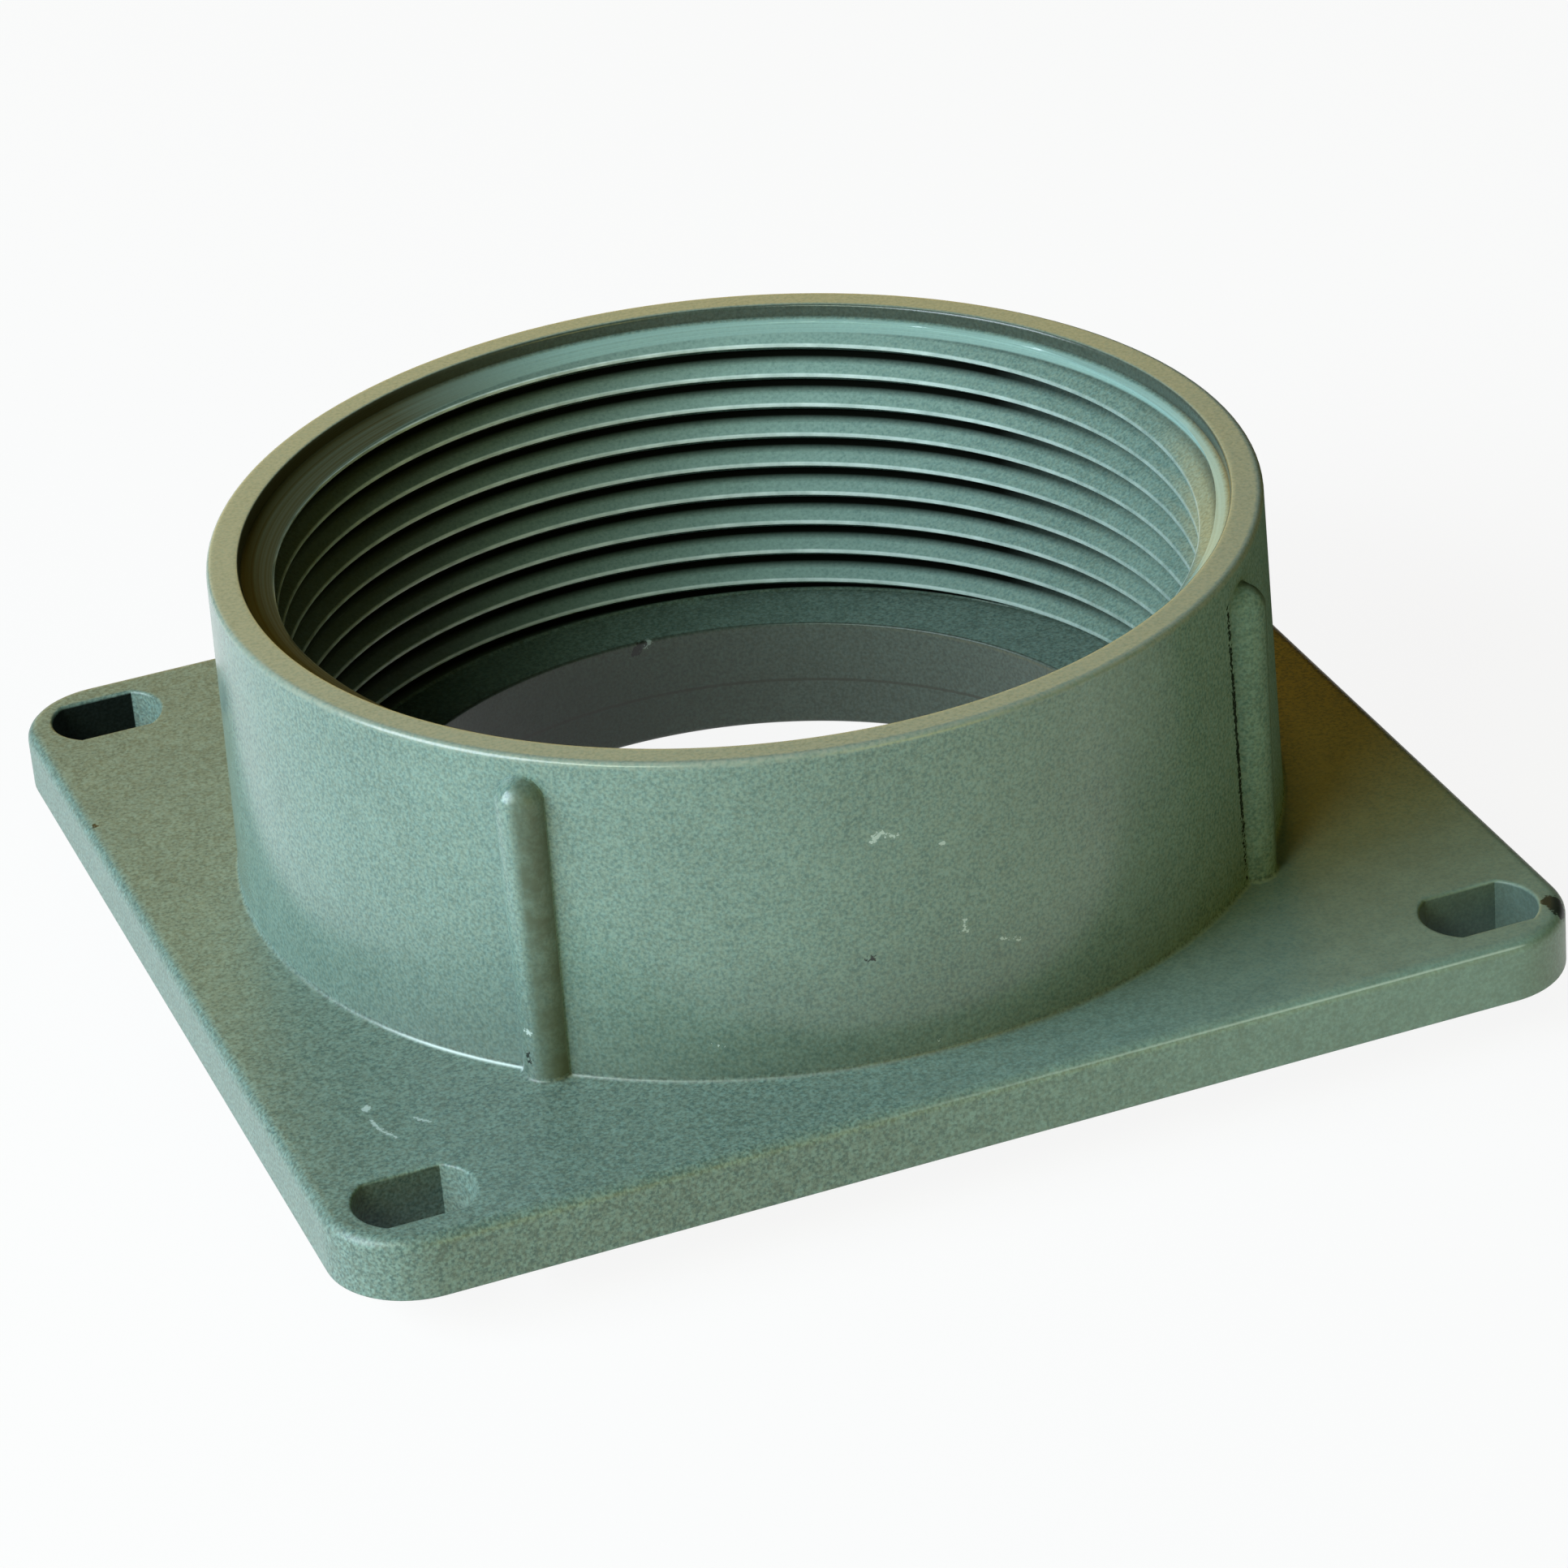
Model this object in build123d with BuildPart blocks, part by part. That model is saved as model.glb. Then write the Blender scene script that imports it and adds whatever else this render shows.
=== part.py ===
from build123d import *
import math
import os

# Threaded flange for a 3 inch conduit, cast in one piece: a plate with four
# slots, a round collar with four beads and an inside pipe thread, and a short
# spigot below the plate. Millimetres. The origin is on the bore's axis in the
# plane of the plate's underside. +Z runs up through the collar, +X along the
# slots.

# pipe thread, 8 turns to the inch, right hand, with a flat crest and root
thread_crest_radius = 41.8
thread_pitch = 3.175
thread_crest_flat = 0.335
thread_root_flat = 0.3
thread_angle = 60.0
thread_end_angle = 18.6

# mouth of the bore: a short plain step, then a lead-in cone to the thread
mouth_clearance = 0.75
mouth_depth = 1.2
lead_in_depth = 1.05

# shoulder that stops the conduit, with the smooth throat below it
shoulder_width = 5.4
shoulder_height = 6.2
shoulder_root = 1.5

# collar, a little wider at its foot so that it leaves the mould
collar_wall = 3.75
collar_draft = 0.65
collar_height = 30.7
collar_foot_edge = 0.6
rim_outer_edge = 0.5
rim_inner_edge = 0.3

# upright half-round beads on the outside of the collar
bead_count = 4
bead_first_angle = 46.8
bead_radius = 2.25
bead_centre_stand_off = 0.15
bead_top_below_rim = 1.9
bead_root = 1.0

# plate: its borders beyond the collar's foot, across the slots and along them
plate_border_x = 9.2
plate_border_y = 7.2
plate_thickness = 5.9
plate_corner_radius = 8.0
plate_edge = 0.5

# bolt slots, one near each corner, all along X
slot_inset_x = 8.0
slot_inset_y = 7.1
slot_length = 10.6
slot_width = 7.4
slot_edge = 0.3

# spigot under the plate, which centres the flange in the panel's opening
spigot_wall = 4.0
spigot_depth = 4.9
spigot_edge = 0.5

flank_slope = math.tan(math.radians(thread_angle / 2))
thread_depth = (thread_pitch - thread_crest_flat - thread_root_flat) / 2 / flank_slope
thread_root_radius = thread_crest_radius + thread_depth
mouth_radius = thread_root_radius + mouth_clearance
throat_radius = thread_crest_radius - shoulder_width
spigot_radius = throat_radius + spigot_wall
shoulder_outer_radius = thread_root_radius + shoulder_root
collar_top_radius = thread_root_radius + collar_wall
collar_foot_radius = collar_top_radius + collar_draft
bead_circle_radius = collar_top_radius + bead_centre_stand_off
plate_length = 2 * (collar_foot_radius + plate_border_x)
plate_width = 2 * (collar_foot_radius + plate_border_y)
slot_spacing_x = plate_length - 2 * slot_inset_x
slot_spacing_y = plate_width - 2 * slot_inset_y
rim_height = plate_thickness + collar_height
cone_bottom = rim_height - mouth_depth - lead_in_depth

# cutter for one turn of the thread groove: the V profile reaches a little
# inside the crests, less than would make two turns touch. The turns are stacked
# from one below the shoulder's top, so that the shoulder closes the groove, up
# into the open mouth, where the groove runs out. At the end angle the groove's
# centre is level with the shoulder.
cutter_overlap = 0.2
groove_root_half = thread_root_flat / 2
cutter_inner_radius = thread_crest_radius - cutter_overlap
cutter_inner_half = groove_root_half + (thread_depth + cutter_overlap) * flank_slope
helix_bottom = shoulder_height - thread_pitch * (1 + thread_end_angle / 360)
helix_top = rim_height - mouth_depth + cutter_inner_half
turn_count = math.ceil((helix_top - helix_bottom) / thread_pitch)

with BuildPart() as groove:
    with BuildLine():
        Helix(
            pitch=thread_pitch,
            height=thread_pitch,
            radius=thread_root_radius,
            center=(0, 0, helix_bottom),
        )
    with BuildSketch(Plane.XZ):
        with BuildLine():
            Polyline(
                (thread_root_radius, helix_bottom - groove_root_half),
                (thread_root_radius, helix_bottom + groove_root_half),
                (cutter_inner_radius, helix_bottom + cutter_inner_half),
                (cutter_inner_radius, helix_bottom - cutter_inner_half),
                close=True,
            )
        make_face()
    sweep(is_frenet=True)

with BuildPart() as flange:
    # plate with rounded corners and a broken upper edge
    with BuildSketch():
        RectangleRounded(plate_length, plate_width, plate_corner_radius)
    extrude(amount=plate_thickness)
    chamfer(flange.edges().group_by(Axis.Z)[-1], length=plate_edge)

    # slots through the plate
    with BuildSketch(Plane.XY.offset(plate_thickness)):
        with GridLocations(slot_spacing_x, slot_spacing_y, 2, 2):
            SlotOverall(slot_length, slot_width)
    extrude(amount=-plate_thickness, mode=Mode.SUBTRACT)
    plate_top = flange.faces().sort_by(Axis.Z)[-1]
    chamfer(plate_top.inner_wires().edges(), length=slot_edge)

    # collar, drafted on the outside, with softened corners at its foot and rim
    skirt_radius = collar_foot_radius + 2 * collar_foot_edge
    foot_corner = (collar_foot_radius, plate_thickness)
    rim_corner = (collar_top_radius, rim_height)
    with BuildSketch(Plane.XZ) as collar_section:
        with BuildLine():
            Polyline(
                (0, 0),
                (skirt_radius, 0),
                (skirt_radius, plate_thickness),
                foot_corner,
                rim_corner,
                (0, rim_height),
                close=True,
            )
        make_face()
        foot_vertex = collar_section.vertices().sort_by_distance(foot_corner)[0]
        chamfer(foot_vertex, length=collar_foot_edge)
        rim_vertex = collar_section.vertices().sort_by_distance(rim_corner)[0]
        chamfer(rim_vertex, length=rim_outer_edge)
    revolve(axis=Axis.Z)

    # bore to the crests, and its plain mouth
    with BuildSketch():
        Circle(thread_crest_radius)
    extrude(amount=rim_height, mode=Mode.SUBTRACT)
    with BuildSketch(Plane.XY.offset(rim_height)):
        Circle(mouth_radius)
    extrude(amount=-mouth_depth, mode=Mode.SUBTRACT)

    # thread, cut a turn at a time
    with Locations([(0, 0, turn * thread_pitch) for turn in range(turn_count)]):
        add(groove.part, mode=Mode.SUBTRACT)

    # lead-in cone, and the softened inner edge of the rim
    with BuildSketch(Plane.XZ):
        with BuildLine():
            Polyline(
                (0, cone_bottom),
                (thread_crest_radius, cone_bottom),
                (mouth_radius, rim_height - mouth_depth),
                (mouth_radius, rim_height - rim_inner_edge),
                (mouth_radius + rim_inner_edge, rim_height),
                (0, rim_height),
                close=True,
            )
        make_face()
    revolve(axis=Axis.Z, mode=Mode.SUBTRACT)

    # shoulder, which closes the lower end of the thread
    with BuildSketch():
        Circle(shoulder_outer_radius)
        Circle(throat_radius, mode=Mode.SUBTRACT)
    extrude(amount=shoulder_height)

    # spigot, softened at its end
    with BuildSketch():
        Circle(spigot_radius)
        Circle(throat_radius, mode=Mode.SUBTRACT)
    extrude(amount=-spigot_depth)
    end_edges = flange.edges().filter_by(GeomType.CIRCLE).group_by(Axis.Z)[0]
    chamfer(end_edges, length=spigot_edge)

    # beads with domed tops, standing on the plate
    bead_foot = plate_thickness - bead_root
    bead_shoulder = rim_height - bead_top_below_rim - bead_radius
    with BuildSketch(Plane.XY.offset(bead_foot)):
        with PolarLocations(bead_circle_radius, bead_count, start_angle=bead_first_angle):
            Circle(bead_radius)
    extrude(amount=bead_shoulder - bead_foot)
    with Locations((0, 0, bead_shoulder)):
        with PolarLocations(bead_circle_radius, bead_count, start_angle=bead_first_angle):
            Sphere(bead_radius)

flange.part.label = "threaded_flange"

os.makedirs("parts", exist_ok=True)
export_step(flange.part, "parts/threaded_flange.step")
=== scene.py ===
"""Threaded flange for a 3 inch conduit: a painted die casting on a pale floor.

The casting is welded from four skins that keep the form of the CAD solid: the
threaded bore and the beaded collar grow from node trees, the throat and the
spigot are turned on the bore's axis, and the slotted plate is drawn round them.
Lengths are in metres. +Z runs up through the collar and +X along the slots.
"""

import math

import bmesh
import bpy
from bpy.props import FloatProperty, FloatVectorProperty, PointerProperty
from mathutils import Matrix, Vector


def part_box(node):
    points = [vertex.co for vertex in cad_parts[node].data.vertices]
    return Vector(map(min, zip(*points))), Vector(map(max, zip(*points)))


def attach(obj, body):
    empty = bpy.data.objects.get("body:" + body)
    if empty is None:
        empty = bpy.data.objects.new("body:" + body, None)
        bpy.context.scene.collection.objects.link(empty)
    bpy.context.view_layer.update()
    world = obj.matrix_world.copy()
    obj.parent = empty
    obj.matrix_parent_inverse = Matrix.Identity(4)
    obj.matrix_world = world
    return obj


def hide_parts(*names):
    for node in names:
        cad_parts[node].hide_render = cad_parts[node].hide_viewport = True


bl_info = {
    "name": "Threaded Flange",
    "version": (1, 0, 0),
    "blender": (4, 5, 0),
    "location": "3D View > Sidebar > Flange",
    "description": "Makes a painted conduit flange with a threaded bore",
    "category": "Add Mesh",
}

MM = 0.001
NODE = "threaded_flange"

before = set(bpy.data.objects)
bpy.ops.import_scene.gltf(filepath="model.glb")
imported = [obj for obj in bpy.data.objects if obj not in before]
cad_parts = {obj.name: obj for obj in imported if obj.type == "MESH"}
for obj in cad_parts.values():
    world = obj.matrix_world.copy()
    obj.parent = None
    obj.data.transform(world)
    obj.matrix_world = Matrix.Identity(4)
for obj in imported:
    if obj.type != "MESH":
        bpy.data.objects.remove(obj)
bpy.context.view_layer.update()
node_low, node_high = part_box(NODE)

# rows and columns of the skins
BORE_COLUMNS = 256
ROWS_PER_TURN = 20
COLLAR_COLUMNS_PER_BEAD = 84
FOOT_ROWS = 6
WALL_ROWS = 12
DOME_ROWS = 24
RIM_ROWS = 6
CORNER_STEPS = 16
SLOT_STEPS = 24
EDGE_STEPS = 5

# gap that the weld closes in metres, and the turn between faces that keeps an edge sharp
WELD = 1e-6
SHARP_ANGLE = math.radians(30)

# slope of the thread's flanks, and how far its rows crowd at crests and roots, from 0 to 1
FLANK_ANGLE = math.radians(30)
THREAD_CROWDING = 0.75

# each bead's share of its quarter turn in columns, without and with its blends, and a blend's run
BEAD_SHARE = 0.2
BLEND_SHARE = 0.3
BLEND_RUN = 0.8 * MM

# small sizes that nobody needs to change: roundings, support ring and the collar's ring on the plate
CONE_ROUND = 0.12 * MM
SPIGOT_ROOT = 0.3 * MM
MOUTH_SUPPORT = 0.1 * MM
PLATE_RING = 3.2 * MM


def length(name, millimetres, description):
    """A length that a user may change, written in millimetres."""
    return FloatProperty(
        name=name,
        description=description,
        default=millimetres * MM,
        precision=5,
        unit="LENGTH",
    )


def angle(name, degrees, description):
    """An angle that a user may change, written in degrees."""
    return FloatProperty(
        name=name,
        description=description,
        default=math.radians(degrees),
        subtype="ANGLE",
    )


def colour(name, red, green, blue, description):
    """A paint or light colour that a user may change."""
    return FloatVectorProperty(
        name=name,
        description=description,
        default=(red, green, blue),
        subtype="COLOR",
        min=0.0,
        max=1.0,
    )


class FlangeSizes(bpy.types.PropertyGroup):
    crest_radius: length("Crest radius", 41.8, "From the axis to the thread's crests")
    thread_depth: length("Thread depth", 2.2, "From crest to root")
    thread_pitch: length("Thread pitch", 3.175, "From one crest to the next")
    root_flat: length("Root flat", 0.3, "Width of the groove's flat root")
    thread_round: length("Thread rounding", 0.2, "Width over which the thread's corners are rounded")
    thread_end_angle: angle("Thread end angle", 18.6, "Where the groove's centre is level with the shoulder")
    mouth_clearance: length("Mouth clearance", 0.75, "Mouth's radius beyond the thread's root")
    mouth_depth: length("Mouth depth", 1.2, "Depth of the plain step inside the rim")
    lead_in_depth: length("Lead-in depth", 1.05, "Depth of the cone between the mouth and the thread")
    shoulder_width: length("Shoulder width", 5.4, "From the crests in to the throat")
    shoulder_height: length("Shoulder height", 6.2, "Stop for the conduit, above the plate's underside")
    shoulder_edge: length("Shoulder edge", 0.2, "Rounding of the shoulder's inner edge")
    collar_wall: length("Collar wall", 3.75, "From the thread's root to the outside at the rim")
    collar_draft: length("Collar draft", 0.65, "How much wider the collar is at its foot")
    collar_foot_round: length("Foot fillet", 0.4, "Fillet between the collar and the plate")
    rim_outer_edge: length("Rim outer edge", 0.5, "Rounding of the rim's outer edge")
    rim_inner_edge: length("Rim inner edge", 0.3, "Rounding of the rim's inner edge")
    bead_radius: length("Bead radius", 2.25, "Radius of the upright beads")
    bead_angle: angle("Bead angle", 46.8, "Direction of the first bead, round from the slots' way")
    bead_stand_off: length("Bead stand-off", 0.15, "From the collar's top radius out to a bead's centre")
    bead_below_rim: length("Bead below rim", 1.9, "From the rim down to a bead's domed top")
    bead_blend: length("Bead blend", 0.6, "Width of the blend between a bead and the collar")
    plate_thickness: length("Plate thickness", 5.9, "From the underside to the plate's top")
    plate_corner: length("Plate corner", 8.0, "Radius of the plate's corners")
    plate_edge: length("Plate edge", 1.1, "Rounding of the plate's upper edge")
    plate_lower_edge: length("Plate lower edge", 0.2, "Rounding of the plate's lower edge")
    slot_inset_x: length("Slot inset along", 8.0, "From the plate's end to a slot's centre")
    slot_inset_y: length("Slot inset across", 7.1, "From the plate's side to a slot's centre")
    slot_length: length("Slot length", 10.6, "Overall length of a slot")
    slot_width: length("Slot width", 7.4, "Width of a slot")
    slot_end_radius: length("Slot end radius", 4.6, "Radius of a slot's bowed ends")
    slot_edge: length("Slot edge", 0.3, "Rounding of a slot's upper edge")
    spigot_wall: length("Spigot wall", 4.0, "From the throat to the spigot's outside")
    spigot_edge: length("Spigot edge", 0.5, "Rounding of the spigot's end")
    support: length("Support ring", 0.25, "Width of the flat ring beside each rounded edge")


class FlangeColours(bpy.types.PropertyGroup):
    # also used as painted light: the plate's front right is made paler as if more brightly lit
    paint_pale_and_light: colour("Pale paint", 0.215, 0.330, 0.290, "Thin or worn paint, also painted light on the plate's front right")
    paint_deep: colour("Deep paint", 0.045, 0.090, 0.080, "Paint that lies thick or stained")
    # a tan film, also used as painted light that makes the plate's back and right paler
    dust_and_light: colour("Dust film", 0.240, 0.270, 0.180, "Tan film on the plate, also painted light on its right and back")
    # painted shadow: a warm dark tone where the collar's shadow falls on the plate's back right
    collar_shadow_tone: colour("Painted collar shadow", 0.340, 0.235, 0.050, "Painted collar shadow on the plate's back right")
    rim: colour("Rubbed rim", 0.270, 0.305, 0.245, "Paint rubbed pale on the rim's flat")
    # turned metal, also used as painted light on the thread at the bore's back wall
    turned: colour("Turned metal", 0.270, 0.420, 0.390, "Lead-in cone and thread that a lathe has cut, and painted light on the thread at the bore's back")
    # painted shade: olive tone on each bead's side away from the light
    stain: colour("Painted bead shade", 0.070, 0.090, 0.055, "Olive painted shade on the beads' side away from the light")
    # dark specks and the joint line, and painted shade in the bore, the step, the throat and low on the
    # collar
    grime_and_shade: colour("Grime and shade", 0.030, 0.030, 0.020, "Dark specks and joint line, also painted shade in corners and recesses")
    # painted shade: a warm olive tone for the lead-in cone's left side, away from the light
    soil: colour("Soil", 0.075, 0.070, 0.034, "Olive painted shade on the lead-in cone's left side")
    # black for painted shade in the thread's roots, the slots and a crease, and for dark knocks
    black_shade_and_marks: colour("Black shade and marks", 0.004, 0.005, 0.004, "Black painted shade in the thread's roots and the slots, and dark marks")
    # bare metal for knocks, and painted highlights on the thread's crests, the collar's foot and the plate's
    # front edge
    bare: colour("Bare casting", 0.66, 0.78, 0.76, "Metal laid bare by knocks, also painted highlights on the crests, the collar's foot and the plate's front edge")
    floor: colour("Floor", 0.80, 0.80, 0.80, "Pale studio floor")
    room: colour("Room", 1.0, 1.0, 1.0, "Even light from all round")
    side_light: colour("Side light", 0.76, 0.89, 1.0, "Large soft light on the left")
    key_light: colour("Key light", 0.83, 1.0, 0.77, "Smaller soft light from the front left")
    front_light: colour("Front light", 1.0, 0.88, 0.20, "Weak soft light from the front")
    back_light: colour("Back light", 1.0, 0.68, 0.10, "Weak warm light from behind")


class CameraSettings(bpy.types.PropertyGroup):
    azimuth: angle("Azimuth", -18.7304, "Direction of the camera round the axis")
    elevation: angle("Elevation", 28.57, "Height of the camera above the horizon")
    roll: angle("Roll", -5.0062, "Turn of the camera about its line of sight")
    distance: length("Distance", 553.176, "From the origin to the camera along its line of sight")
    slide: length("Slide", 1.785, "Sideways move of the camera in its own frame")
    lift: length("Lift", 7.287, "Upward move of the camera in its own frame")
    lens: FloatProperty(name="Lens", default=136.307, unit="CAMERA",
                        description="Focal length on a sensor 36 mm wide")


# node sums


def new_node(tree, kind, inputs=None, **settings):
    """Adds a node with its settings, and links or sets its inputs by name or place."""
    node = tree.nodes.new(kind)
    for name, value in settings.items():
        setattr(node, name, value)
    for title, value in (inputs or {}).items():
        link_or_set(tree, value, node.inputs[title])
    return node


def link_or_set(tree, value, socket):
    if isinstance(value, Term):
        value = value.socket
    if isinstance(value, bpy.types.NodeSocket):
        tree.links.new(value, socket)
    else:
        socket.default_value = value


class Term:
    """A number socket in a node tree, so that a formula reads as a sum is written."""

    def __init__(self, tree, socket):
        self.tree = tree
        self.socket = socket

    def math(self, operation, *others):
        inputs = dict(enumerate((self, *others)))
        return Term(self.tree, new_node(self.tree, "ShaderNodeMath", inputs, operation=operation).outputs[0])

    def __add__(self, other):
        return self.math("ADD", other)

    def __sub__(self, other):
        return self.math("SUBTRACT", other)

    def __mul__(self, other):
        return self.math("MULTIPLY", other)

    def __truediv__(self, other):
        return self.math("DIVIDE", other)

    def sin(self):
        return self.math("SINE")

    def cos(self):
        return self.math("COSINE")

    def abs(self):
        return self.math("ABSOLUTE")

    def root(self):
        return self.math("SQRT")

    def sign(self):
        return self.math("SIGN")

    def least(self, other):
        return self.math("MINIMUM", other)

    def most(self, other):
        return self.math("MAXIMUM", other)

    def soft_least(self, other, width):
        return self.math("SMOOTH_MIN", other, width)

    def soft_most(self, other, width):
        return self.math("SMOOTH_MAX", other, width)

    def ramp(self, start, count, first, last):
        """Goes from first to last while this number goes from start through count more."""
        inputs = {"Value": self, "From Min": start, "From Max": start + count,
                  "To Min": first, "To Max": last}
        return Term(self.tree, new_node(self.tree, "ShaderNodeMapRange", inputs).outputs["Result"])

    def part(self, start, count):
        """Goes from 0 to 1 while this number goes from start through count more."""
        return self.ramp(start, count, 0.0, 1.0)

    def fade(self, start, count):
        """Goes from 1 to 0 while this number goes from start through count more."""
        return self.ramp(start, count, 1.0, 0.0)


def axes(tree, place):
    """The three coordinates of a position, as terms."""
    split = new_node(tree, "ShaderNodeSeparateXYZ", {0: place})
    return [Term(tree, split.outputs[axis]) for axis in "XYZ"]


class Skin:
    """A node tree that bends a grid into a skin by a rule in cylinder coordinates."""

    def __init__(self, name, inputs, columns, rows):
        self.tree = bpy.data.node_groups.new(name, "GeometryNodeTree")
        self.tree.is_modifier = True
        self.values = inputs
        self.sockets = {}
        face = self.tree.interface
        for title, value in inputs.items():
            socket = face.new_socket(name=title, in_out="INPUT", socket_type="NodeSocketFloat")
            socket.default_value = value
            self.sockets[title] = socket.identifier
        self.material_socket = face.new_socket(
            name="Paint", in_out="INPUT", socket_type="NodeSocketMaterial"
        ).identifier
        face.new_socket(name="Geometry", in_out="OUTPUT", socket_type="NodeSocketGeometry")
        self.entry = new_node(self.tree, "NodeGroupInput")
        cells = {"Size X": 1.0, "Size Y": 1.0, "Vertices X": columns + 1, "Vertices Y": rows + 1}
        self.grid = new_node(self.tree, "GeometryNodeMeshGrid", cells)
        place = new_node(self.tree, "GeometryNodeInputPosition")
        side, up, _ = axes(self.tree, place.outputs[0])
        self.column = (side + 0.5) * columns
        self.row = (up + 0.5) * rows

    def size(self, title):
        return Term(self.tree, self.entry.outputs[title])

    def bend(self, angle, radius, height):
        """Moves the grid to the given angle, radius and height, welds its seam and ends the tree."""
        tree = self.tree
        spot = {"X": radius * angle.cos(), "Y": radius * angle.sin(), "Z": height}
        place = new_node(tree, "ShaderNodeCombineXYZ", spot).outputs[0]
        moved = {"Geometry": self.grid.outputs["Mesh"], "Position": place}
        move = new_node(tree, "GeometryNodeSetPosition", moved)
        weld = new_node(tree, "GeometryNodeMergeByDistance", {"Geometry": move.outputs[0], "Distance": WELD})
        realize = new_node(tree, "GeometryNodeRealizeInstances", {0: weld.outputs[0]})
        paint = {"Geometry": realize.outputs[0], "Material": self.entry.outputs["Paint"]}
        new_node(tree, "NodeGroupOutput", {0: new_node(tree, "GeometryNodeSetMaterial", paint).outputs[0]})

    def grow(self, material):
        """Runs the tree once and returns its result as a plain mesh."""
        carrier = bpy.data.objects.new(self.tree.name, bpy.data.meshes.new(self.tree.name))
        bpy.context.scene.collection.objects.link(carrier)
        modifier = carrier.modifiers.new("Skin", "NODES")
        modifier.node_group = self.tree
        for title, identifier in self.sockets.items():
            modifier[identifier] = self.values[title]
        modifier[self.material_socket] = material
        graph = bpy.context.evaluated_depsgraph_get()
        mesh = bpy.data.meshes.new_from_object(carrier.evaluated_get(graph))
        carrier.modifiers.remove(modifier)
        bpy.data.objects.remove(carrier)
        return mesh


# skins


def bore_skin(sizes):
    """Thread and lead-in cone: rows follow the helix and stop at the shoulder and the mouth."""
    top = node_high.z - sizes.mouth_depth
    turns = math.ceil((top - sizes.shoulder_height) / sizes.thread_pitch + 1.1)
    inputs = {
        "Crest radius": sizes.crest_radius,
        "Thread depth": sizes.thread_depth,
        "Thread pitch": sizes.thread_pitch,
        "Root flat": sizes.root_flat,
        "Rounding": sizes.thread_round,
        "End angle": sizes.thread_end_angle,
        "Shoulder height": sizes.shoulder_height,
        "Mouth floor": top,
        "Mouth radius": sizes.crest_radius + sizes.thread_depth + sizes.mouth_clearance,
        "Lead-in depth": sizes.lead_in_depth,
    }
    skin = Skin("Threaded Bore", inputs, BORE_COLUMNS, turns * ROWS_PER_TURN)
    size = skin.size
    angle = skin.column * (2 * math.pi / BORE_COLUMNS)
    pitch = size("Thread pitch")
    crest = size("Crest radius")
    root = crest + size("Thread depth")

    # rows crowd together at the crests and roots
    turn = skin.row / ROWS_PER_TURN
    phase = turn - (turn * (4 * math.pi)).sin() * (THREAD_CROWDING / (4 * math.pi))
    first_root = size("Shoulder height") - pitch * (size("End angle") / (2 * math.pi))
    helix_height = first_root + pitch * (phase - 1.0 + angle / (2 * math.pi))
    height = helix_height.most(size("Shoulder height")).least(size("Mouth floor"))

    # distance from the groove's centre, and the flank's radius there
    winding = (height - first_root) / pitch - angle / (2 * math.pi)
    off_root = ((winding + 0.5).math("FRACT") - 0.5).abs() * pitch
    flank = root - (off_root - size("Root flat") * 0.5) * (1 / math.tan(FLANK_ANGLE))
    groove = flank.soft_least(root, size("Rounding")).soft_most(crest, size("Rounding"))

    cone_run = size("Mouth radius") - crest
    cone = size("Mouth radius") - cone_run * ((size("Mouth floor") - height) / size("Lead-in depth"))
    radius = groove.soft_most(cone, CONE_ROUND)
    at_mouth = height.math("COMPARE", size("Mouth floor"), WELD)
    radius = radius + (size("Mouth radius") - radius) * at_mouth
    skin.bend(angle, radius, height)
    return skin


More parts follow.
